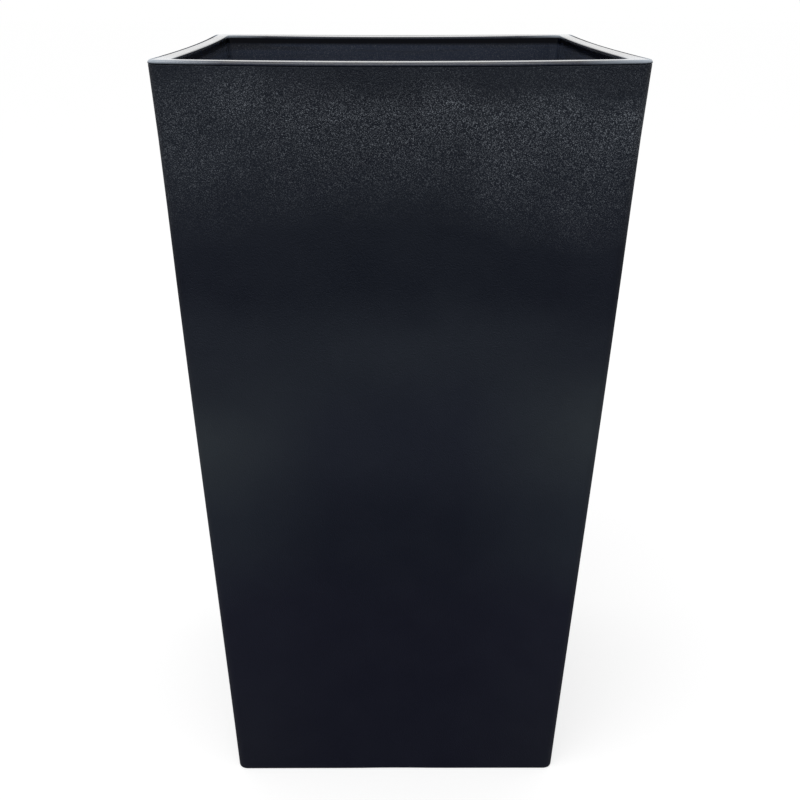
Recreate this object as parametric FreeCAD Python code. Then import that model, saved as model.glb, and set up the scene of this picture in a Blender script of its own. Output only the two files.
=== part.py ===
import FreeCAD, Part
import math
import os

# A tall square planter: a tapered moulded shell, a drop-in liner whose flange is the rim,
# and four rubber plugs in the drain holes of the shell's floor.
# Millimetres, +Z up, origin on the ground at the middle of the base, front towards -Y.

# Overall form
height = 711.0
top_width = 394.0
base_width = 324.0
corner_radius = 10.0
least_inner_radius = 1.0

# Outer shell
shell_wall = 4.0
shell_floor = 4.0
floor_lift = 14.0
floor_round = 5.0
skirt_wall = 6.0
foot_round = 2.0
shell_edge_chamfer = 0.6
relief_width = 120.0
relief_height = 1.5
rib_thickness = 3.0
rib_pitch = 62.0
ribs_each_way = 3
rib_lift = 3.0

# Drain holes in the shell's floor
drain_bore = 22.0
drain_spacing = 190.0
drain_boss_wall = 5.0
drain_boss_depth = 5.0

# Liner flange, which is the rim that shows
rim_width = 15.0
rim_thickness = 3.5
rim_overhang = 0.8
rim_outer_round = 2.0
rim_inner_round = 1.6

# Liner pot below the flange
liner_depth = 340.0
liner_wall = 3.2
liner_floor = 3.2
liner_lean = 4.0
liner_corner_radius = 11.0
liner_floor_round = 8.0
neck_depth = 8.0
neck_step = 0.8

# Locating lip under the flange, just inside the shell's top edge, and the ribs behind it
lip_depth = 10.0
lip_wall = 2.4
lip_clearance = 0.3
flange_rib_thickness = 2.0
flange_rib_depth = 8.0
flange_rib_pitch = 58.0
flange_ribs_each_side = 5

# Drain slots in the liner's floor
slot_width = 3.5
slot_length = 46.0
slot_ring_radius = 86.0
slot_count = 12
corner_slot_margin = 16.0
corner_slot_count = 4

# Drain plugs
plug_head_diameter = 36.0
plug_head_thickness = 3.5
plug_clearance = 0.25
plug_tip_reach = 3.0
plug_fin_length = 22.0
plug_fin_thickness = 5.0
plug_fin_height = 12.0
plug_fin_round = 1.5

# How far a cutting solid runs past the face that it opens, and how near two heights count as one
overrun = 2.0
level_tolerance = 0.01


def half_width(z):
    """Half the width over the walls at the height z."""
    return (base_width + (top_width - base_width) * z / height) / 2


def tapered_block(half_low, half_high, radius, z_low, z_high):
    """A square block with flat sloping sides, rounded along its four upright edges."""
    block = Part.makeWedge(-half_low, z_low, -half_low, -half_high, -half_high,
                           half_low, z_high, half_low, half_high, half_high)
    block.rotate(FreeCAD.Vector(0, 0, 0), FreeCAD.Vector(1, 0, 0), 90)
    upright = [edge for edge in block.Edges if edge.BoundBox.ZLength > level_tolerance]
    return block.makeFillet(max(radius, least_inner_radius), upright)


def wall_block(low_inset, high_inset, radius, z_low, z_high):
    """A block that follows the planter's walls between two heights, moved in by an inset at each."""
    half_low = half_width(z_low) - low_inset
    half_high = half_width(z_high) - high_inset
    return tapered_block(half_low, half_high, radius, z_low, z_high)


def level_edges(shape, z):
    """The edges of a shape that lie flat at the height z."""
    found = []
    for edge in shape.Edges:
        box = edge.BoundBox
        if abs(box.ZMin - z) < level_tolerance and abs(box.ZMax - z) < level_tolerance:
            found.append(edge)
    return found


def level_face(shape, z):
    """The largest flat face of a shape at the height z."""
    faces = []
    for face in shape.Faces:
        box = face.BoundBox
        if abs(box.ZMin - z) < level_tolerance and abs(box.ZMax - z) < level_tolerance:
            faces.append(face)
    return max(faces, key=lambda face: face.Area)


def cylinder(diameter, length, x, y, z):
    """An upright cylinder that stands at a point."""
    return Part.makeCylinder(diameter / 2, length, FreeCAD.Vector(x, y, z))


def drain_places():
    """The centres of the four drain holes."""
    offset = drain_spacing / 2
    return [(-offset, -offset), (offset, -offset), (offset, offset), (-offset, offset)]


def relief_arches():
    """The shallow arches that open the skirt's lower edge in the middle of each side."""
    radius = (relief_width ** 2 / 4 + relief_height ** 2) / (2 * relief_height)
    length = base_width + 2 * overrun
    arches = []
    for along in (FreeCAD.Vector(1, 0, 0), FreeCAD.Vector(0, 1, 0)):
        start = FreeCAD.Vector(0, 0, relief_height - radius) - along * (length / 2)
        arches.append(Part.makeCylinder(radius, length, start, along))
    return arches


def underside_ribs():
    """The rib grid and the drain bosses that hang under the shell's floor."""
    depth = floor_lift - rib_lift
    pieces = []
    for index in range(ribs_each_way):
        offset = (index - (ribs_each_way - 1) / 2) * rib_pitch - rib_thickness / 2
        pieces.append(Part.makeBox(base_width, rib_thickness, depth,
                                   FreeCAD.Vector(-base_width / 2, offset, rib_lift)))
        pieces.append(Part.makeBox(rib_thickness, base_width, depth,
                                   FreeCAD.Vector(offset, -base_width / 2, rib_lift)))
    boss_diameter = drain_bore + 2 * drain_boss_wall
    for x, y in drain_places():
        pieces.append(cylinder(boss_diameter, drain_boss_depth, x, y, floor_lift - drain_boss_depth))
    return pieces[0].fuse(pieces[1:])


def outer_shell():
    """The tapered body: thin walls, a raised floor, ribs under it and a skirt to stand on."""
    top = height - rim_thickness
    floor_top = floor_lift + shell_floor
    body = wall_block(0, 0, corner_radius, 0, top)
    body = body.makeFillet(foot_round, level_edges(body, 0))
    body = body.makeChamfer(shell_edge_chamfer, level_edges(body, top))

    inner_radius = corner_radius - shell_wall
    cavity = wall_block(shell_wall, shell_wall, inner_radius, floor_top, top + overrun)
    cavity = cavity.makeFillet(floor_round, level_edges(cavity, floor_top))

    pocket = wall_block(skirt_wall, skirt_wall, corner_radius - skirt_wall, -overrun, floor_lift)
    pocket = pocket.cut(underside_ribs())

    holes = [cylinder(drain_bore, floor_top + overrun, x, y, 0) for x, y in drain_places()]
    return body.cut([cavity, pocket] + holes + relief_arches()).removeSplitter()


def liner_slots(z):
    """The drain slots of the liner's floor: a ring of spokes and one in each corner."""
    floor_half = half_width(z) - rim_width - neck_step - liner_lean - liner_floor_round
    corner_slot_radius = (floor_half - corner_slot_margin) * math.sqrt(2) - slot_length / 2
    depth = liner_floor + 2 * overrun
    slots = []
    for count, radius, start in ((slot_count, slot_ring_radius, 0),
                                 (corner_slot_count, corner_slot_radius, 45)):
        for index in range(count):
            near_end = FreeCAD.Vector(radius - slot_length / 2, -slot_width / 2, z - overrun)
            spoke = Part.makeBox(slot_length, slot_width, depth, near_end)
            spoke.rotate(FreeCAD.Vector(0, 0, 0), FreeCAD.Vector(0, 0, 1), start + 360 * index / count)
            slots.append(spoke)
    return slots


def flange_ribs():
    """The short upright ribs that tie the locating lip to the pot's wall under the flange."""
    outside = half_width(height)
    reach = rim_width + overrun
    low = height - rim_thickness - flange_rib_depth
    ribs = []
    for turn in range(4):
        for index in range(flange_ribs_each_side):
            offset = (index - (flange_ribs_each_side - 1) / 2) * flange_rib_pitch
            corner = FreeCAD.Vector(offset - flange_rib_thickness / 2, outside - reach, low)
            rib = Part.makeBox(flange_rib_thickness, reach, flange_rib_depth, corner)
            rib.rotate(FreeCAD.Vector(0, 0, 0), FreeCAD.Vector(0, 0, 1), 90 * turn)
            ribs.append(rib)
    return ribs


def inner_liner():
    """The drop-in pot: a flange that is the rim, a locating lip, drafted walls and a slotted floor."""
    flange_low = height - rim_thickness
    bottom = height - liner_depth
    floor_top = bottom + liner_floor
    neck_low = height - neck_depth
    outer_radius = liner_corner_radius + liner_wall

    rim_half = half_width(height) + rim_overhang
    flange = tapered_block(rim_half, rim_half, corner_radius + rim_overhang, flange_low, height)

    outer_inset = rim_width - liner_wall + neck_step
    body = wall_block(outer_inset + liner_lean, outer_inset, outer_radius, bottom, flange_low)
    body = body.makeFillet(liner_floor_round + liner_floor, level_edges(body, bottom))

    lip_inset = shell_wall + lip_clearance
    lip_low = flange_low - lip_depth
    lip_block = wall_block(lip_inset, lip_inset, corner_radius - lip_inset, lip_low, flange_low)
    lip_inner_inset = lip_inset + lip_wall
    lip_hollow = wall_block(lip_inner_inset, lip_inner_inset, corner_radius - lip_inner_inset,
                            lip_low, flange_low)
    lip = lip_block.cut(lip_hollow)
    ribs = [rib.common(lip_block) for rib in flange_ribs()]

    pot_inset = rim_width + neck_step
    pot = wall_block(pot_inset + liner_lean, pot_inset, liner_corner_radius - neck_step, floor_top, neck_low)
    pot = pot.makeFillet(liner_floor_round, level_edges(pot, floor_top))
    neck = wall_block(rim_width, rim_width, liner_corner_radius, neck_low, height + overrun)

    liner = flange.fuse([body, lip] + ribs).cut([pot, neck] + liner_slots(bottom))
    liner = liner.removeSplitter()
    outer_edges = level_face(liner, height).OuterWire.Edges
    liner = liner.makeFillet(rim_outer_round, outer_edges)
    top_face = level_face(liner, height)
    inner_edges = [edge for wire in top_face.Wires if not wire.isSame(top_face.OuterWire)
                   for edge in wire.Edges]
    return liner.makeFillet(rim_inner_round, inner_edges)


def drain_plug(x, y):
    """One rubber bung: a round head on the floor, a stem through the hole and a fin to pull it by."""
    seat = floor_lift + shell_floor
    head_top = seat + plug_head_thickness
    tip = floor_lift - drain_boss_depth - plug_tip_reach
    head = cylinder(plug_head_diameter, plug_head_thickness, 0, 0, seat)
    stem = cylinder(drain_bore - 2 * plug_clearance, seat - tip, 0, 0, tip)

    fin = Part.makeBox(plug_fin_length, plug_fin_thickness, plug_fin_height + plug_head_thickness,
                       FreeCAD.Vector(-plug_fin_length / 2, -plug_fin_thickness / 2, seat))
    fin = fin.makeFillet(plug_fin_round, level_edges(fin, head_top + plug_fin_height))
    bung = head.fuse([stem, fin]).removeSplitter()
    bung.rotate(FreeCAD.Vector(0, 0, 0), FreeCAD.Vector(0, 0, 1), math.degrees(math.atan2(y, x)))
    bung.translate(FreeCAD.Vector(x, y, 0))
    return bung


os.makedirs("parts", exist_ok=True)
nodes = {"outer_shell": outer_shell(), "inner_liner": inner_liner()}
for number, (x, y) in enumerate(drain_places(), start=1):
    nodes[f"drain_plug_{number}"] = drain_plug(x, y)

for name, shape in nodes.items():
    solid = shape.Solids[0]
    print(name, "solids", len(shape.Solids), "valid", solid.isValid(), "volume", round(solid.Volume))
    solid.exportStep(f"parts/{name}.step")
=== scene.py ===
import math

import bmesh
import bpy
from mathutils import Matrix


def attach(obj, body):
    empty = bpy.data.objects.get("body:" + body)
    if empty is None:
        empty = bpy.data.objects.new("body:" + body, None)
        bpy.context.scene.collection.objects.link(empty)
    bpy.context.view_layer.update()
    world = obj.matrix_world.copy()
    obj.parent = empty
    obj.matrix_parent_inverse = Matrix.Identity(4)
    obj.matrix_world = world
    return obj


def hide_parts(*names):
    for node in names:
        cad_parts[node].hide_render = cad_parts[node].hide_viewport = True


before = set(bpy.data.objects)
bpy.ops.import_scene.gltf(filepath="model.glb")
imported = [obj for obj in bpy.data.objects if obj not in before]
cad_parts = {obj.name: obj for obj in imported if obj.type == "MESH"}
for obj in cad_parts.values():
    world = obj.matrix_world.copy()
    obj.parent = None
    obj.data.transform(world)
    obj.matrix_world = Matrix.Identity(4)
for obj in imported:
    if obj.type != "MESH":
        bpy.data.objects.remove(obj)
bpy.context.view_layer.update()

# Outer shell
# One thin tapered moulding in blue-black plastic, with a fine pebbled grain outside.
# Its walls lean out from a square foot and have drawn in a little between the corners as they cooled.
planter_height = 0.711
foot_half = 0.1624
rim_half = 0.1982
shell_top = 0.7075
shell_wall = 0.004
skirt_wall = 0.006
floor_underside = 0.014
floor_level = 0.018
corner_round = 0.0082
foot_round = 0.002
pocket_round = 0.001
top_edge_round = 0.0006
floor_round = 0.005
corner_segments = 8
side_cuts = 23
wall_levels = 12
draw_in_depth = 0.0042
flare_depth = 0.0014
flare_start = 0.600
bulge_depth = 0.0011
bulge_power = 1.6
dip_front = 0.0026
dip_side = 0.0007
dip_back = 0.0005
dip_start = 0.450
ripple_depth = 0.00022
ripple_across = 27.0
ripple_up = 13.0
ripple_phase_x = 1.0
ripple_phase_y = 2.0
level_slack = 0.0001
edge_steps = 2
small_round_steps = 3
round_steps = 4
wide_round_steps = 5
smooth_angle = math.radians(32)
quarter_turn = math.radians(90)
upright = (0, 0, 0)


def half_at(z):
    """Half the planter's width over its walls at a height."""
    return foot_half + (rim_half - foot_half) * z / planter_height


def choose_edges(piece, wanted):
    """Selects the edges of the piece in edit mode that pass a test."""
    bpy.ops.mesh.select_mode(type="EDGE")
    bpy.ops.mesh.select_all(action="DESELECT")
    edit = bmesh.from_edit_mesh(piece.data)
    for edge in edit.edges:
        edge.select_set(wanted(edge))
    bmesh.update_edit_mesh(piece.data)


def round_level(piece, z, radius, segments):
    """Rounds all the edges of the piece in edit mode that lie flat at a height."""
    choose_edges(piece, lambda edge: all(abs(vertex.co.z - z) < level_slack for vertex in edge.verts))
    bpy.ops.mesh.bevel(offset=radius, segments=segments, affect="EDGES")


def round_ring(piece, half, z, radius, segments):
    """Rounds the square ring of the piece in edit mode that has a half-width at a height."""

    def on_straight(edge):
        for vertex in edge.verts:
            reach = max(abs(vertex.co.x), abs(vertex.co.y))
            if abs(vertex.co.z - z) > level_slack or abs(reach - half) > level_slack:
                return False
        return True
    choose_edges(piece, on_straight)
    bpy.ops.mesh.loop_multi_select(ring=False)
    bpy.ops.mesh.bevel(offset=radius, segments=segments, affect="EDGES")


def square_start(name, half, z, radius):
    """A flat square with rounded corners and cut sides, left in edit mode with its outline selected."""
    bpy.ops.object.select_all(action="DESELECT")
    bpy.ops.mesh.primitive_plane_add(size=2 * half, location=(0, 0, z))
    piece = bpy.context.active_object
    piece.name = name
    bpy.ops.object.transform_apply(location=True, rotation=True, scale=True)
    bpy.ops.object.mode_set(mode="EDIT")
    bpy.ops.mesh.select_all(action="SELECT")
    bpy.ops.mesh.bevel(offset=radius, segments=corner_segments, affect="VERTICES")
    choose_edges(piece, lambda edge: edge.calc_length() > half)
    bpy.ops.mesh.subdivide(number_cuts=side_cuts)
    bpy.ops.mesh.select_all(action="SELECT")
    return piece


def draw_rings(stations):
    """Extrudes the selected outline through half-widths and heights, and closes the last one with a face."""
    for (half, z), (next_half, next_z) in zip(stations, stations[1:]):
        bpy.ops.mesh.extrude_edges_move(TRANSFORM_OT_translate={"value": (0, 0, next_z - z)})
        bpy.ops.transform.resize(value=(next_half / half, next_half / half, 1))
    bpy.ops.mesh.edge_face_add()
    bpy.ops.mesh.select_all(action="SELECT")
    bpy.ops.mesh.normals_make_consistent(inside=False)


def draw_in_walls(piece):
    """Moves the piece's points to where its walls lie once they have drawn in and rippled a little."""
    for vertex in piece.data.vertices:
        x, y, z = vertex.co
        half = half_at(z)
        beside_x = max(0, 1 - (y / half) ** 2)
        beside_y = max(0, 1 - (x / half) ** 2)
        depth = draw_in_depth * z / planter_height
        rise = math.sin(ripple_up * z)
        ripple_x = ripple_depth * math.sin(ripple_across * y + ripple_phase_x) * rise
        ripple_y = ripple_depth * math.sin(ripple_across * x + ripple_phase_y) * rise
        spread = bulge_depth * math.sin(math.pi * max(0, z / planter_height) ** bulge_power)
        spread += flare_depth * max(0, (z - flare_start) / (planter_height - flare_start)) ** 2
        dip = (dip_front if y < 0 else dip_back) * beside_y * (y / half) ** 2
        dip += dip_side * beside_x * (x / half) ** 2
        vertex.co.z = z - dip * max(0, (z - dip_start) / (planter_height - dip_start)) ** 2
        vertex.co.x = x + (spread - (depth + ripple_x) * beside_x) * x / half
        vertex.co.y = y + (spread - (depth + ripple_y) * beside_y) * y / half


def pick(piece):
    """Makes a piece the only one selected."""
    bpy.ops.object.select_all(action="DESELECT")
    piece.select_set(True)
    bpy.context.view_layer.objects.active = piece


def join_or_cut(piece, tool, operation):
    """Joins a second mesh to the piece, or cuts it away, and removes the second mesh."""
    pick(piece)
    bpy.ops.object.modifier_add(type="BOOLEAN")
    modifier = piece.modifiers[-1]
    modifier.operation = operation
    modifier.solver = "EXACT"
    modifier.use_self = True
    modifier.object = tool
    bpy.ops.object.modifier_apply(modifier=modifier.name)
    bpy.data.objects.remove(tool)


def block(low, high):
    """A box between two corners."""
    bpy.ops.object.select_all(action="DESELECT")
    middle = [(a + b) / 2 for a, b in zip(low, high)]
    bpy.ops.mesh.primitive_cube_add(size=1, location=middle)
    box = bpy.context.active_object
    box.scale = [b - a for a, b in zip(low, high)]
    bpy.ops.object.transform_apply(location=True, rotation=True, scale=True)
    return box


def round_bar(radius, length, middle, turn, sides):
    """A cylinder about a point, turned from upright."""
    bpy.ops.object.select_all(action="DESELECT")
    bpy.ops.mesh.primitive_cylinder_add(vertices=sides, radius=radius, depth=length,
                                        location=middle, rotation=turn)
    bpy.ops.object.transform_apply(location=True, rotation=True, scale=True)
    return bpy.context.active_object


def joined(pieces):
    """Several meshes as one object."""
    pick(pieces[0])
    for piece in pieces:
        piece.select_set(True)
    bpy.ops.object.join()
    return bpy.context.active_object


def smooth_faces(piece, angle):
    """Smooths the rounded edges and keeps the flat faces flat."""
    pick(piece)
    bpy.ops.object.shade_smooth_by_angle(angle=angle)
    bpy.ops.object.modifier_add(type="WEIGHTED_NORMAL")
    piece.modifiers[-1].keep_sharp = True
    bpy.ops.object.modifier_apply(modifier=piece.modifiers[-1].name)


outside = []
inside = []
for level in range(wall_levels + 1):
    z = shell_top * level / wall_levels
    outside.append((half_at(z), z))
    z = shell_top + (floor_level - shell_top) * level / wall_levels
    inside.append((half_at(z) - shell_wall, z))
pocket_high = half_at(floor_underside) - skirt_wall
pocket_low = half_at(0) - skirt_wall
shell = square_start("planter_shell", pocket_high, floor_underside, corner_round)
draw_rings([(pocket_high, floor_underside), (pocket_low, 0)] + outside + inside)
round_ring(shell, foot_half, 0, foot_round, small_round_steps)
round_ring(shell, pocket_low, 0, pocket_round, edge_steps)
round_ring(shell, half_at(shell_top), shell_top, top_edge_round, edge_steps)
round_ring(shell, half_at(shell_top) - shell_wall, shell_top, top_edge_round, edge_steps)
round_level(shell, floor_level, floor_round, round_steps)
bpy.ops.object.mode_set(mode="OBJECT")

rib_pitch = 0.062
rib_steps = (-1, 0, 1)
rib_half = 0.0015
rib_low = 0.003
rib_bite = 0.002
rib_top = floor_underside + rib_bite
rib_reach = pocket_low + skirt_wall / 2
boss_low = 0.009
boss_radius = 0.016
drain_offset = 0.095
drain_radius = 0.011
drain_sides = 48
bore_length = 4 * floor_level
drain_places = [(-drain_offset, -drain_offset), (drain_offset, -drain_offset),
                (drain_offset, drain_offset), (-drain_offset, drain_offset)]
underside = []
for step in rib_steps:
    near = step * rib_pitch - rib_half
    far = step * rib_pitch + rib_half
    underside.append(block((-rib_reach, near, rib_low), (rib_reach, far, rib_top)))
    underside.append(block((near, -rib_reach, rib_low), (far, rib_reach, rib_top)))
for x, y in drain_places:
    middle = (x, y, (boss_low + rib_top) / 2)
    underside.append(round_bar(boss_radius, rib_top - boss_low, middle, upright, drain_sides))
join_or_cut(shell, joined(underside), "UNION")
bores = [round_bar(drain_radius, bore_length, (x, y, 0), upright, drain_sides) for x, y in drain_places]
join_or_cut(shell, joined(bores), "DIFFERENCE")
relief_half = 0.060
relief_rise = 0.0015
relief_radius = (relief_half ** 2 + relief_rise ** 2) / (2 * relief_rise)
relief_sides = 512
relief_length = 3 * foot_half
for turn in ((quarter_turn, 0, 0), (0, quarter_turn, 0)):
    middle = (0, 0, relief_rise - relief_radius)
    arch = round_bar(relief_radius, relief_length, middle, turn, relief_sides)
    join_or_cut(shell, arch, "DIFFERENCE")
draw_in_walls(shell)
smooth_faces(shell, smooth_angle)
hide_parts("outer_shell")
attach(shell, "shell")


def node(tree, kind, **settings):
    """A new node of a tree; a setting names one of its sockets or one of its own values."""
    made = tree.nodes.new(kind)
    for name, value in settings.items():
        socket = name.replace("_", " ").title()
        if socket in made.inputs:
            made.inputs[socket].default_value = value
        else:
            setattr(made, name, value)
    return made


def new_group(name, inputs, outputs):
    """A new shader node group with named number sockets, and its two end nodes."""
    group = bpy.data.node_groups.new(name, "ShaderNodeTree")
    for socket in inputs:
        group.interface.new_socket(name=socket, in_out="INPUT", socket_type="NodeSocketFloat")
    for socket in outputs:
        group.interface.new_socket(name=socket, in_out="OUTPUT", socket_type="NodeSocketFloat")
    return group, group.nodes.new("NodeGroupInput"), group.nodes.new("NodeGroupOutput")


def arithmetic(tree, operation, first, second):
    """A number worked out from two others, each a socket or a plain number."""
    made = tree.nodes.new("ShaderNodeMath")
    made.operation = operation
    for socket, value in zip(made.inputs, (first, second)):
        if isinstance(value, (int, float)):
            socket.default_value = value
        else:
            tree.links.new(value, socket)
    return made.outputs[0]


def ramp(tree, value, low, high, to_low=0, to_high=1):
    """A number mapped from one range to another, and held inside it."""
    made = node(tree, "ShaderNodeMapRange", from_min=low, from_max=high, to_min=to_low, to_max=to_high)
    tree.links.new(value, made.inputs["Value"])
    return made.outputs["Result"]


def blend(tree, share, first, second):
    """A colour between two others, each a socket or a plain colour."""
    made = tree.nodes.new("ShaderNodeMix")
    made.data_type = "RGBA"
    tree.links.new(share, made.inputs["Factor"])
    for socket, colour in zip((made.inputs[6], made.inputs[7]), (first, second)):
        if isinstance(colour, tuple):
            socket.default_value = colour
        else:
            tree.links.new(colour, socket)
    return made.outputs[2]


def noise(tree, where, scale, detail):
    """A soft noise over the object's own coordinates."""
    made = node(tree, "ShaderNodeTexNoise", detail=detail)
    tree.links.new(where, made.inputs["Vector"])
    if isinstance(scale, (int, float)):
        made.inputs["Scale"].default_value = scale
    else:
        tree.links.new(scale, made.inputs["Scale"])
    return made.outputs["Fac"]


# Two effects that the materials share: a pebbled grain with flecks, and clouds with settled dust.
rough_per_pebble = 0.55
points_per_pebble = 1.7
patch_starts = 0.41
patch_full = 0.55
point_starts = 0.51
point_full = 0.60
pebbled_grain, ends_in, ends_out = new_group("pebbled_grain", ["Pebbles Per Metre"], ["Height", "Fleck"])
pebble_count = ends_in.outputs[0]
where = node(pebbled_grain, "ShaderNodeTexCoord").outputs["Object"]
pebbles = node(pebbled_grain, "ShaderNodeTexVoronoi")
pebbled_grain.links.new(where, pebbles.inputs["Vector"])
pebbled_grain.links.new(pebble_count, pebbles.inputs["Scale"])
rough_count = arithmetic(pebbled_grain, "MULTIPLY", pebble_count, rough_per_pebble)
rough = noise(pebbled_grain, where, rough_count, detail=3)
height = arithmetic(pebbled_grain, "SUBTRACT", rough, pebbles.outputs["Distance"])
pebbled_grain.links.new(height, ends_out.inputs["Height"])
patches = noise(pebbled_grain, where, pebble_count, detail=2)
point_count = arithmetic(pebbled_grain, "MULTIPLY", pebble_count, points_per_pebble)
points = noise(pebbled_grain, where, point_count, detail=2)
fleck = arithmetic(pebbled_grain, "MULTIPLY", ramp(pebbled_grain, patches, patch_starts, patch_full),
                   ramp(pebbled_grain, points, point_starts, point_full))
pebbled_grain.links.new(fleck, ends_out.inputs["Fleck"])

cloud_starts = 0.35
cloud_full = 0.65
dust_per_metre = 55
dust_starts = 0.42
dust_full = 0.72
least_upward = 0.3
moulding_clouds, ends_in, ends_out = new_group("moulding_clouds", ["Clouds Per Metre"], ["Cloud", "Dust"])
where = node(moulding_clouds, "ShaderNodeTexCoord").outputs["Object"]
billows = noise(moulding_clouds, where, ends_in.outputs[0], detail=4)
cloud = ramp(moulding_clouds, billows, cloud_starts, cloud_full)
moulding_clouds.links.new(cloud, ends_out.inputs["Cloud"])
facing = node(moulding_clouds, "ShaderNodeSeparateXYZ")
moulding_clouds.links.new(node(moulding_clouds, "ShaderNodeNewGeometry").outputs["Normal"], facing.inputs[0])
upward = ramp(moulding_clouds, facing.outputs["Z"], least_upward, 1)
specks = noise(moulding_clouds, where, dust_per_metre, detail=6)
dust = arithmetic(moulding_clouds, "MULTIPLY", upward, ramp(moulding_clouds, specks, dust_starts, dust_full))
moulding_clouds.links.new(dust, ends_out.inputs["Dust"])


def placed(tree, group, value):
    """A node group placed in a material, with its one number."""
    made = node(tree, "ShaderNodeGroup", node_tree=group)
    made.inputs[0].default_value = value
    return made


def new_material(name):
    """A new node material, its tree and its shader."""
    material = bpy.data.materials.new(name)
    material.use_nodes = True
    return material, material.node_tree, material.node_tree.nodes["Principled BSDF"]


def bump(tree, shader, height, strength, distance):
    """Raises the surface's grain by a height."""
    made = node(tree, "ShaderNodeBump", strength=strength, distance=distance)
    tree.links.new(height, made.inputs["Height"])
    tree.links.new(made.outputs["Normal"], shader.inputs["Normal"])


def tones(tree, share, stops):
    """A colour that runs through several others; each stop has a place between 0 and 1 and a colour."""
    made = tree.nodes.new("ShaderNodeValToRGB")
    tree.links.new(share, made.inputs["Fac"])
    made.color_ramp.interpolation = "EASE"
    elements = made.color_ramp.elements
    elements[0].position, elements[0].color = stops[0]
    elements[1].position, elements[1].color = stops[-1]
    for place, colour in stops[1:-1]:
        elements.new(place).color = colour
    return made.outputs["Color"]


def corner_reach(tree, place):
    """The smaller distance of a place from the planter's two middle planes, which is largest at a corner."""
    along_x = arithmetic(tree, "ABSOLUTE", place.outputs["X"], 0)
    along_y = arithmetic(tree, "ABSOLUTE", place.outputs["Y"], 0)
    return arithmetic(tree, "MINIMUM", along_x, along_y)


# The shell's finish: painted light and shade in bands by height, painted light near the corners, and painted
# glints as pale flecks below the rim.
shell_plastic, tree, shader = new_material("blue_black_pebbled_plastic")
# Painted light and shade: base colours by height for the lit top band, the darker bands below it and the
# shade under the rim.
shell_painted_shading_tones = [(0.00, (0.0046, 0.0048, 0.0135, 1)), (0.24, (0.0036, 0.0036, 0.0122, 1)),
               (0.38, (0.0034, 0.0045, 0.0120, 1)), (0.53, (0.0086, 0.0106, 0.0200, 1)),
               (0.65, (0.0110, 0.0140, 0.0215, 1)), (0.74, (0.0010, 0.0022, 0.0075, 1)),
               (0.84, (0.0012, 0.0024, 0.0072, 1)), (0.93, (0.0006, 0.0014, 0.0052, 1)),
               (0.97, (0.0006, 0.0012, 0.0048, 1)), (1.00, (0.0010, 0.0020, 0.0060, 1))]
# Painted light: lighter colours near the corners, where the walls catch more light.
shell_corner_painted_light_tones = [(0.00, (0.0080, 0.0085, 0.0165, 1)), (0.26, (0.0070, 0.0074, 0.0175, 1)),
                    (0.40, (0.0140, 0.0180, 0.0270, 1)), (0.54, (0.0250, 0.0310, 0.0380, 1)),
                    (0.67, (0.0100, 0.0125, 0.0200, 1)), (0.75, (0.0020, 0.0030, 0.0090, 1)),
                    (0.97, (0.0034, 0.0052, 0.0100, 1)), (1.00, (0.0010, 0.0020, 0.0060, 1))]
# Painted glints: a pale fleck colour in the lit band below the rim, stronger to the right and fading in the
# rim's shade.
shell_painted_glint = (0.265, 0.290, 0.325, 1)
shell_pebbles = 900
shell_clouds = 24
shell_drifts = 4.5
drift_depth = 0.055
corner_painted_light_starts = 0.06
corner_painted_light_full = 0.17
glints_start = 0.79
glints_full = 0.945
glints_in_hollows = 0.65
glints_shaded_starts = 0.945
glints_shaded_ends = 0.985
glints_in_rim_shade = 0.22
glints_reach = 0.19
glints_left = 0.64
glints_right = 1.16
shell_least_rough = 0.40
shell_most_rough = 0.48
plastic_ior = 1.45
shell_sheen = (0.78, 0.87, 1.0, 1)
grain = placed(tree, pebbled_grain, shell_pebbles)
clouds = placed(tree, moulding_clouds, shell_clouds)
drifts = placed(tree, moulding_clouds, shell_drifts)
cloud = clouds.outputs["Cloud"]
place = node(tree, "ShaderNodeSeparateXYZ")
tree.links.new(node(tree, "ShaderNodeTexCoord").outputs["Object"], place.inputs[0])
drifted = ramp(tree, drifts.outputs["Cloud"], 0, 1, -drift_depth / 2, drift_depth / 2)
rise = arithmetic(tree, "ADD", ramp(tree, place.outputs["Z"], 0, planter_height), drifted)
# Painted light near the corners.
corner_painted_light_share = ramp(tree, corner_reach(tree, place), corner_painted_light_starts, corner_painted_light_full)
colour = blend(tree, corner_painted_light_share, tones(tree, rise, shell_painted_shading_tones), tones(tree, rise, shell_corner_painted_light_tones))
# Painted glints on the grain below the rim, with painted shade under the rim and more light to the right.
painted_glints = ramp(tree, rise, glints_start, glints_full)
painted_rim_shade = ramp(tree, rise, glints_shaded_starts, glints_shaded_ends, 1, glints_in_rim_shade)
glints_to_right = ramp(tree, place.outputs["X"], -glints_reach, glints_reach, glints_left, glints_right)
for share in (ramp(tree, cloud, 0, 1, glints_in_hollows, 1), painted_rim_shade, glints_to_right):
    painted_glints = arithmetic(tree, "MULTIPLY", painted_glints, share)
flecked = arithmetic(tree, "MULTIPLY", grain.outputs["Fleck"], painted_glints)
colour = blend(tree, flecked, colour, shell_painted_glint)
tree.links.new(colour, shader.inputs["Base Color"])
tree.links.new(ramp(tree, cloud, 0, 1, shell_least_rough, shell_most_rough), shader.inputs["Roughness"])
shader.inputs["IOR"].default_value = plastic_ior
shader.inputs["Specular Tint"].default_value = shell_sheen
bump(tree, shader, grain.outputs["Height"], strength=0.5, distance=0.0003)
shell.data.materials.append(shell_plastic)

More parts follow.
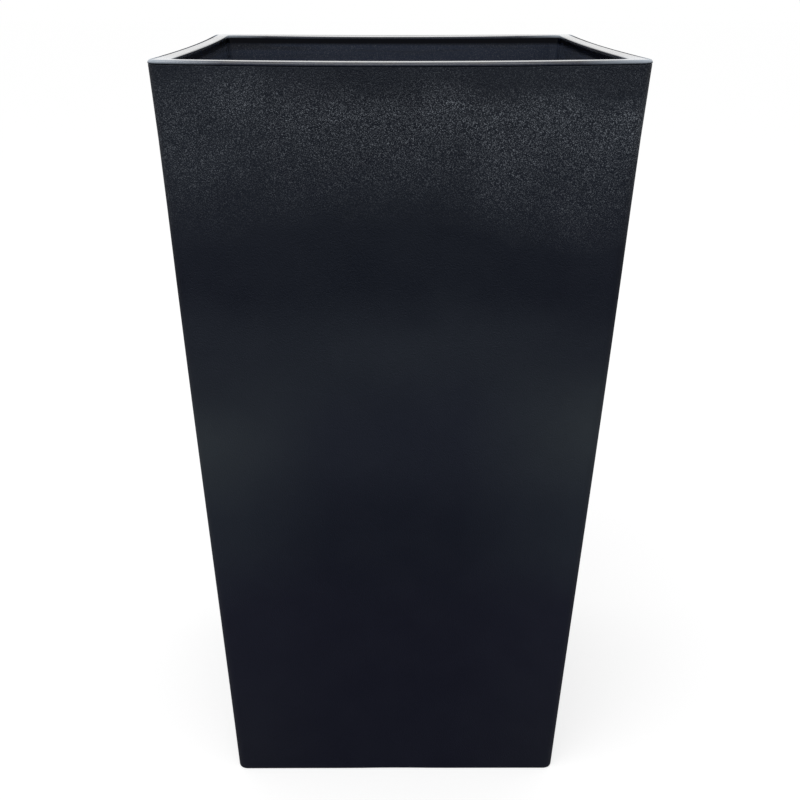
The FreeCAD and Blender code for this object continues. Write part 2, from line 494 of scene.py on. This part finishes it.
# Inner liner
# A drop-in pot, moulded in the same plastic with smoother faces and a slotted floor to drain it.
# Its flange is the rim: it hangs on the shell's top edge, and a lip with short ribs centres it there.
rim_width = 0.015
rim_overhang = 0.0002
rim_crown = 0.0002
rim_steps = 4
rim_outer_round = 0.0022
rim_inner_round = 0.0009
rim_under_round = 0.0009
neck_depth = 0.008
neck_low = planter_height - neck_depth
neck_step = 0.0008
neck_slope = 0.003
liner_floor_round = 0.008
liner_foot_round = 0.0085
liner_low = 0.371
liner_floor_level = 0.3742
liner_wall = 0.0032
liner_lean = 0.004
liner_levels = 8
liner_corner_round = 0.0092
lip_depth = 0.010
lip_low = shell_top - lip_depth
lip_clearance = 0.0003
lip_wall = 0.0024
lip_outer_inset = shell_wall + lip_clearance
lip_inner_inset = lip_outer_inset + lip_wall


def pot_station(z, inset):
    """A ring of the liner's pot at a height, for a wall face at an inset under the flange."""
    lean = liner_lean * (shell_top - z) / (shell_top - liner_low)
    return half_at(z) - inset - lean, z


outer_wall = []
inner_wall = []
for level in range(liner_levels + 1):
    z = liner_low + (shell_top - liner_low) * level / liner_levels
    outer_wall.append(pot_station(z, rim_width + neck_step - liner_wall))
    z = neck_low - neck_slope + (liner_floor_level - neck_low + neck_slope) * level / liner_levels
    inner_wall.append(pot_station(z, rim_width + neck_step))
rim_outer = half_at(planter_height) + rim_overhang
mouth_half = half_at(planter_height) - rim_width
flange = [(half_at(shell_top) - lip_inner_inset, shell_top), (half_at(lip_low) - lip_inner_inset, lip_low),
          (half_at(lip_low) - lip_outer_inset, lip_low), (half_at(shell_top) - lip_outer_inset, shell_top),
          (rim_outer, shell_top)]
for step in range(rim_steps + 1):
    across = step / rim_steps
    fall = rim_crown * (2 * across - 1) ** 2
    flange.append((rim_outer + (mouth_half - rim_outer) * across, planter_height - fall))
flange.append((half_at(neck_low) - rim_width, neck_low))
liner = square_start("planter_liner", outer_wall[0][0], liner_low, liner_corner_round)
draw_rings(outer_wall + flange + inner_wall)
round_ring(liner, rim_outer, planter_height - rim_crown, rim_outer_round, wide_round_steps)
round_ring(liner, mouth_half, planter_height - rim_crown, rim_inner_round, round_steps)
round_ring(liner, rim_outer, shell_top, rim_under_round, edge_steps)
round_level(liner, liner_floor_level, liner_floor_round, wide_round_steps)
round_level(liner, liner_low, liner_foot_round, wide_round_steps)
bpy.ops.object.mode_set(mode="OBJECT")

flange_rib_half = 0.001
flange_rib_pitch = 0.058
flange_rib_steps = (-2, -1, 0, 1, 2)
flange_rib_depth = 0.008
flange_rib_bite = 0.001
flange_rib_low = shell_top - flange_rib_depth
flange_rib_top = shell_top + flange_rib_bite
flange_rib_out = half_at(flange_rib_low) - lip_inner_inset + flange_rib_bite
flange_rib_in = outer_wall[-1][0] - liner_wall / 2
flange_ribs = []
for step in flange_rib_steps:
    near = step * flange_rib_pitch - flange_rib_half
    far = step * flange_rib_pitch + flange_rib_half
    for side in (-1, 1):
        reach = sorted((side * flange_rib_in, side * flange_rib_out))
        flange_ribs.append(block((near, reach[0], flange_rib_low), (far, reach[1], flange_rib_top)))
        flange_ribs.append(block((reach[0], near, flange_rib_low), (reach[1], far, flange_rib_top)))
join_or_cut(liner, joined(flange_ribs), "UNION")

slot_half_width = 0.00175
slot_half_length = 0.023
slot_overrun = 0.004
slot_count = 12
slot_ring_radius = 0.086
corner_slot_count = 4
corner_slot_radius = 0.170
corner_slot_start = 45
slots = []
for count, radius, start in ((slot_count, slot_ring_radius, 0),
                             (corner_slot_count, corner_slot_radius, corner_slot_start)):
    for index in range(count):
        slot = block((radius - slot_half_length, -slot_half_width, liner_low - slot_overrun),
                     (radius + slot_half_length, slot_half_width, liner_floor_level + slot_overrun))
        slot.rotation_euler.z = math.radians(start + 360 * index / count)
        bpy.ops.object.transform_apply(location=True, rotation=True, scale=True)
        slots.append(slot)
join_or_cut(liner, joined(slots), "DIFFERENCE")

rim_sag = 0.0016


def rise_at(z):
    """How far up the flange a height lies: 0 at the shell's top edge and 1 at the top of the rim."""
    return (z - shell_top) / (planter_height - shell_top)


# Two numbers at each point, for the finish: how far up the flange it lies, and how far in from its edge.
for attribute in ("rim_rise", "rim_edge"):
    liner.data.attributes.new(attribute, "FLOAT", "POINT")
rim_rise = liner.data.attributes["rim_rise"].data
rim_edge = liner.data.attributes["rim_edge"].data
for vertex in liner.data.vertices:
    x, y, z = vertex.co
    rise = rise_at(z)
    rim_rise[vertex.index].value = rise
    corner_x = max(0, abs(x) - rim_outer + liner_corner_round)
    corner_y = max(0, abs(y) - rim_outer + liner_corner_round)
    edge = rim_outer - max(abs(x), abs(y))
    if corner_x > 0 and corner_y > 0:
        edge = liner_corner_round - math.hypot(corner_x, corner_y)
    rim_edge[vertex.index].value = edge
    if y > mouth_half - rim_width and z > shell_top:
        across = min(max((rim_outer - y) / rim_width, 0), 1)
        vertex.co.z = z - rim_sag * across * rise * max(0, 1 - (x / mouth_half) ** 2)
draw_in_walls(liner)
smooth_faces(liner, smooth_angle)
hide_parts("inner_liner")
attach(liner, "liner")

# The liner's finish: drawn lines and flecks inside, painted shade in the neck, and a glossy rim with painted
# highlights at its corners.
liner_plastic, tree, shader = new_material("blue_black_smooth_plastic")
liner_blue_black = (0.0185, 0.0240, 0.0400, 1)
liner_paler = (0.0220, 0.0280, 0.0445, 1)
liner_line = (0.014, 0.016, 0.022, 1)
liner_fleck = (0.108, 0.114, 0.128, 1)
liner_dust = (0.034, 0.032, 0.030, 1)
# Painted shade: a near-black colour for the shaded neck just under the rim.
neck_painted_shade = (0.0010, 0.0014, 0.0034, 1)
# Painted highlight: a pale colour on the rim near its corners.
rim_painted_highlight = (0.340, 0.385, 0.440, 1)
neck_rise = rise_at(neck_low)
neck_end_rise = rise_at(neck_low - neck_slope)
neck_fade_rise = 0.4
lines_end_rise = -7.0
lines_per_metre = 260
line_stretch = (0.03, 0.03, 1)
line_starts = 0.44
line_full = 0.62
liner_pebbles = 800
liner_clouds = 22
liner_least_flecked = 0.36
liner_most_flecked = 0.56
highlight_starts = 0.140
highlight_full = 0.197
highlight_low_rise = 0.15
highlight_high_rise = 0.5
worn_full = 0.0042
worn_ends = 0.0052
worn_low_rise = 0.86
worn_high_rise = 0.90
front_edge_ends = -0.192
side_edge_starts = -0.180
front_edge_wear = 0.5
liner_least_rough = 0.16
liner_most_rough = 0.24
polish_starts = 0.7
neck_polish = 0.25
coat_low_rise = 0.25
coat_high_rise = 0.7
rim_coat = 0.78
grain = placed(tree, pebbled_grain, liner_pebbles)
clouds = placed(tree, moulding_clouds, liner_clouds)
cloud = clouds.outputs["Cloud"]
where = node(tree, "ShaderNodeTexCoord").outputs["Object"]
rise = node(tree, "ShaderNodeAttribute", attribute_name="rim_rise").outputs["Fac"]
edge = node(tree, "ShaderNodeAttribute", attribute_name="rim_edge").outputs["Fac"]
place = node(tree, "ShaderNodeSeparateXYZ")
tree.links.new(where, place.inputs[0])
colour = blend(tree, cloud, liner_blue_black, liner_paler)
line_place = node(tree, "ShaderNodeMapping", scale=line_stretch)
tree.links.new(where, line_place.inputs["Vector"])
streaks = noise(tree, line_place.outputs[0], lines_per_metre, detail=4)
lines = arithmetic(tree, "MULTIPLY", ramp(tree, streaks, line_starts, line_full),
                   ramp(tree, rise, lines_end_rise, neck_end_rise))
colour = blend(tree, lines, colour, liner_line)
flecked = arithmetic(tree, "MULTIPLY", grain.outputs["Fleck"],
                     ramp(tree, cloud, 0, 1, liner_least_flecked, liner_most_flecked))
colour = blend(tree, flecked, colour, liner_fleck)
colour = blend(tree, clouds.outputs["Dust"], colour, liner_dust)
# Painted shade in the neck under the rim.
in_neck = arithmetic(tree, "MINIMUM", ramp(tree, rise, neck_end_rise, neck_rise),
                     ramp(tree, rise, 0, neck_fade_rise, 1, 0))
colour = blend(tree, in_neck, colour, neck_painted_shade)
# Painted highlight on the rim near its corners.
corner_highlight_share = arithmetic(tree, "MULTIPLY", ramp(tree, corner_reach(tree, place), highlight_starts, highlight_full),
                    ramp(tree, rise, highlight_low_rise, highlight_high_rise))
colour = blend(tree, corner_highlight_share, colour, rim_painted_highlight)
tree.links.new(colour, shader.inputs["Base Color"])
worn = arithmetic(tree, "MULTIPLY", ramp(tree, edge, worn_full, worn_ends, 1, 0),
                  ramp(tree, rise, worn_low_rise, worn_high_rise))
worn = arithmetic(tree, "MULTIPLY", worn,
                  ramp(tree, place.outputs["Y"], front_edge_ends, side_edge_starts, front_edge_wear, 1))
gloss = arithmetic(tree, "MULTIPLY", ramp(tree, cloud, 0, 1, liner_least_rough, liner_most_rough),
                   ramp(tree, in_neck, polish_starts, 1, 1, neck_polish))
tree.links.new(arithmetic(tree, "MAXIMUM", gloss, worn), shader.inputs["Roughness"])
coat = arithmetic(tree, "MULTIPLY", ramp(tree, rise, coat_low_rise, coat_high_rise, 0, rim_coat),
                  ramp(tree, worn, 0, 1, 1, 0))
tree.links.new(coat, shader.inputs["Coat Weight"])
shader.inputs["Coat Roughness"].default_value = 0.07
shader.inputs["IOR"].default_value = plastic_ior
shader.inputs["Specular IOR Level"].default_value = 0.06
bump(tree, shader, grain.outputs["Height"], strength=0.08, distance=0.0002)
liner.data.materials.append(liner_plastic)

# Drain plugs
# Four soft black rubber bungs, pushed into the shell's drain holes from inside.
# The head seals on the floor, the hollow stem fills the hole, and a fin on the head is there to pull it by.
plug_stem_radius = 0.01075
plug_head_radius = 0.018
plug_head_thickness = 0.0035
plug_head_top = floor_level + plug_head_thickness
plug_tip = 0.006
plug_hollow = 0.0040
plug_hollow_depth = 0.009
plug_fin_half_length = 0.011
plug_fin_half_width = 0.0025
plug_fin_height = 0.012
plug_fin_top = plug_head_top + plug_fin_height
plug_fin_lift = 0.001
plug_fin_low = floor_level + plug_fin_lift
plug_head_round = 0.0014
plug_seal_round = 0.0005
plug_tip_round = 0.0012
plug_fin_round = 0.0015
plug_fin_end_round = 0.0010
plug_sides = 64
plug_smooth_angle = math.radians(40)
level_normal = 0.9
tip_slack = 0.001
least_upright = 0.005


def choose_faces(piece, wanted):
    """Selects the faces of the piece in edit mode that pass a test."""
    bpy.ops.mesh.select_mode(type="FACE")
    bpy.ops.mesh.select_all(action="DESELECT")
    edit = bmesh.from_edit_mesh(piece.data)
    for face in edit.faces:
        face.select_set(wanted(face))
    bmesh.update_edit_mesh(piece.data)


stem_middle = (0, 0, (plug_tip + floor_level) / 2)
plug = round_bar(plug_stem_radius, floor_level - plug_tip, stem_middle, upright, plug_sides)
bpy.ops.object.mode_set(mode="EDIT")
choose_faces(plug, lambda face: face.normal.z > level_normal)
bpy.ops.mesh.extrude_region_move(TRANSFORM_OT_translate={"value": (0, 0, 0)})
head_growth = plug_head_radius / plug_stem_radius
bpy.ops.transform.resize(value=(head_growth, head_growth, 1))
bpy.ops.mesh.extrude_region_move(TRANSFORM_OT_translate={"value": (0, 0, plug_head_thickness)})
choose_faces(plug, lambda face: face.normal.z < -level_normal
             and face.calc_center_median().z < plug_tip + tip_slack)
bpy.ops.mesh.inset(thickness=plug_hollow)
bpy.ops.mesh.extrude_region_move(TRANSFORM_OT_translate={"value": (0, 0, plug_hollow_depth)})
bpy.ops.mesh.select_all(action="SELECT")
bpy.ops.mesh.normals_make_consistent(inside=False)


def round_circle(piece, circle_radius, z, radius, segments):
    """Rounds the circle of the piece in edit mode that has a radius at a height."""

    def on_circle(edge):
        for vertex in edge.verts:
            if abs(vertex.co.z - z) > level_slack or abs(vertex.co.xy.length - circle_radius) > level_slack:
                return False
        return True
    choose_edges(piece, on_circle)
    bpy.ops.mesh.bevel(offset=radius, segments=segments, affect="EDGES")


round_circle(plug, plug_head_radius, plug_head_top, plug_head_round, round_steps)
round_circle(plug, plug_head_radius, floor_level, plug_seal_round, edge_steps)
round_circle(plug, plug_stem_radius, plug_tip, plug_tip_round, small_round_steps)
bpy.ops.object.mode_set(mode="OBJECT")
fin = block((-plug_fin_half_length, -plug_fin_half_width, plug_fin_low),
            (plug_fin_half_length, plug_fin_half_width, plug_fin_top))
bpy.ops.object.mode_set(mode="EDIT")
choose_edges(fin, lambda edge: min(vertex.co.z for vertex in edge.verts) > plug_head_top)
bpy.ops.mesh.bevel(offset=plug_fin_round, segments=round_steps, affect="EDGES")
choose_edges(fin, lambda edge: abs(edge.verts[0].co.z - edge.verts[1].co.z) > least_upright)
bpy.ops.mesh.bevel(offset=plug_fin_end_round, segments=small_round_steps, affect="EDGES")
bpy.ops.object.mode_set(mode="OBJECT")
join_or_cut(plug, fin, "UNION")
smooth_faces(plug, plug_smooth_angle)

plug_rubber, tree, shader = new_material("soft_black_rubber")
rubber_black = (0.0075, 0.0076, 0.0080, 1)
rubber_bloom = (0.030, 0.030, 0.031, 1)
rubber_pebbles = 2600
rubber_clouds = 60
rubber_least_rough = 0.55
rubber_most_rough = 0.75
grain = placed(tree, pebbled_grain, rubber_pebbles)
cloud = placed(tree, moulding_clouds, rubber_clouds).outputs["Cloud"]
colour = blend(tree, cloud, rubber_black, rubber_bloom)
tree.links.new(colour, shader.inputs["Base Color"])
tree.links.new(ramp(tree, cloud, 0, 1, rubber_least_rough, rubber_most_rough), shader.inputs["Roughness"])
bump(tree, shader, grain.outputs["Height"], strength=0.2, distance=0.0001)
plug.data.materials.append(plug_rubber)

for number, (x, y) in enumerate(drain_places, start=1):
    pick(plug)
    bpy.ops.object.duplicate()
    bung = bpy.context.active_object
    bung.name = f"rubber_plug_{number}"
    bung.rotation_euler.z = math.atan2(y, x)
    bung.location = (x, y, 0)
    bpy.ops.object.transform_apply(location=True, rotation=True, scale=True)
    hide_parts(f"drain_plug_{number}")
    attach(bung, f"plug_{number}")
bpy.data.objects.remove(plug)

# Floor and light
# A plain pale floor that stays white to the camera and keeps the planter's shadow.
# Light comes from a white surround, a softbox overhead and a weak one that the back of the rim mirrors.
floor_size = 40
floor_grey = (0.16, 0.16, 0.165, 1)
paper_grey = (0.42, 0.42, 0.42, 1)
paper_glow = 0.66
surround_seen = 1.0
surround_light = 0.8
overhead_place = (-0.5, -1.2, 2.6)
overhead_turn = (math.radians(24), math.radians(-10), 0)
overhead_size = 1.8
overhead_watts = 25
back_place = (0, 3.2, 1.80)
back_turn = (math.radians(-71), 0, 0)
back_width = 2.6
back_height = 0.9
back_watts = 4.5
bpy.ops.object.select_all(action="DESELECT")
bpy.ops.mesh.primitive_plane_add(size=floor_size, location=(0, 0, 0))
floor = bpy.context.active_object
floor.name = "studio_floor"
pale_floor, tree, shader = new_material("pale_floor")
shader.inputs["Base Color"].default_value = floor_grey
shader.inputs["Roughness"].default_value = 0.9
shader.inputs["Specular IOR Level"].default_value = 0
paper = node(tree, "ShaderNodeBsdfDiffuse", color=paper_grey)
glow = node(tree, "ShaderNodeEmission", strength=paper_glow)
lit_paper = tree.nodes.new("ShaderNodeAddShader")
tree.links.new(paper.outputs[0], lit_paper.inputs[0])
tree.links.new(glow.outputs[0], lit_paper.inputs[1])
seen = tree.nodes.new("ShaderNodeMixShader")
tree.links.new(node(tree, "ShaderNodeLightPath").outputs["Is Camera Ray"], seen.inputs["Fac"])
tree.links.new(shader.outputs[0], seen.inputs[1])
tree.links.new(lit_paper.outputs[0], seen.inputs[2])
tree.links.new(seen.outputs[0], tree.nodes["Material Output"].inputs["Surface"])
floor.data.materials.append(pale_floor)

world = bpy.data.worlds.new("white_studio")
world.use_nodes = True
bpy.context.scene.world = world
tree = world.node_tree
path = node(tree, "ShaderNodeLightPath")
looked_at = arithmetic(tree, "MAXIMUM", path.outputs["Is Camera Ray"], path.outputs["Is Glossy Ray"])
looked_at = arithmetic(tree, "MAXIMUM", looked_at, path.outputs["Is Transmission Ray"])
brightness = ramp(tree, looked_at, 0, 1, surround_light, surround_seen)
tree.links.new(brightness, tree.nodes["Background"].inputs["Strength"])
tree.nodes["Background"].inputs["Color"].default_value = (1, 1, 1, 1)

bpy.ops.object.light_add(type="AREA", location=overhead_place)
softbox = bpy.context.active_object
softbox.name = "overhead_softbox"
softbox.data.size = overhead_size
softbox.data.energy = overhead_watts
softbox.rotation_euler = overhead_turn

bpy.ops.object.light_add(type="AREA", location=back_place)
back_softbox = bpy.context.active_object
back_softbox.name = "back_softbox"
back_softbox.data.shape = "RECTANGLE"
back_softbox.data.size = back_width
back_softbox.data.size_y = back_height
back_softbox.data.energy = back_watts
back_softbox.rotation_euler = back_turn

# Camera
# It stands about a metre in front, just above the rim, and looks down on the front face.
camera_place = (-0.0180, -1.0848, 0.7720)
turned_right = math.radians(0.152)
tilted_down = math.radians(20.580)
sensor_width = 36
lens_length = 49.10
picture_shift = (0.0245, -0.01788)
bpy.ops.object.camera_add(location=camera_place)
camera = bpy.context.active_object
camera.rotation_euler = (quarter_turn - tilted_down, 0, -turned_right)
camera.data.sensor_width = sensor_width
camera.data.lens = lens_length
camera.data.shift_x = picture_shift[0]
camera.data.shift_y = picture_shift[1]
bpy.context.scene.camera = camera
bpy.context.scene.view_settings.view_transform = "Standard"
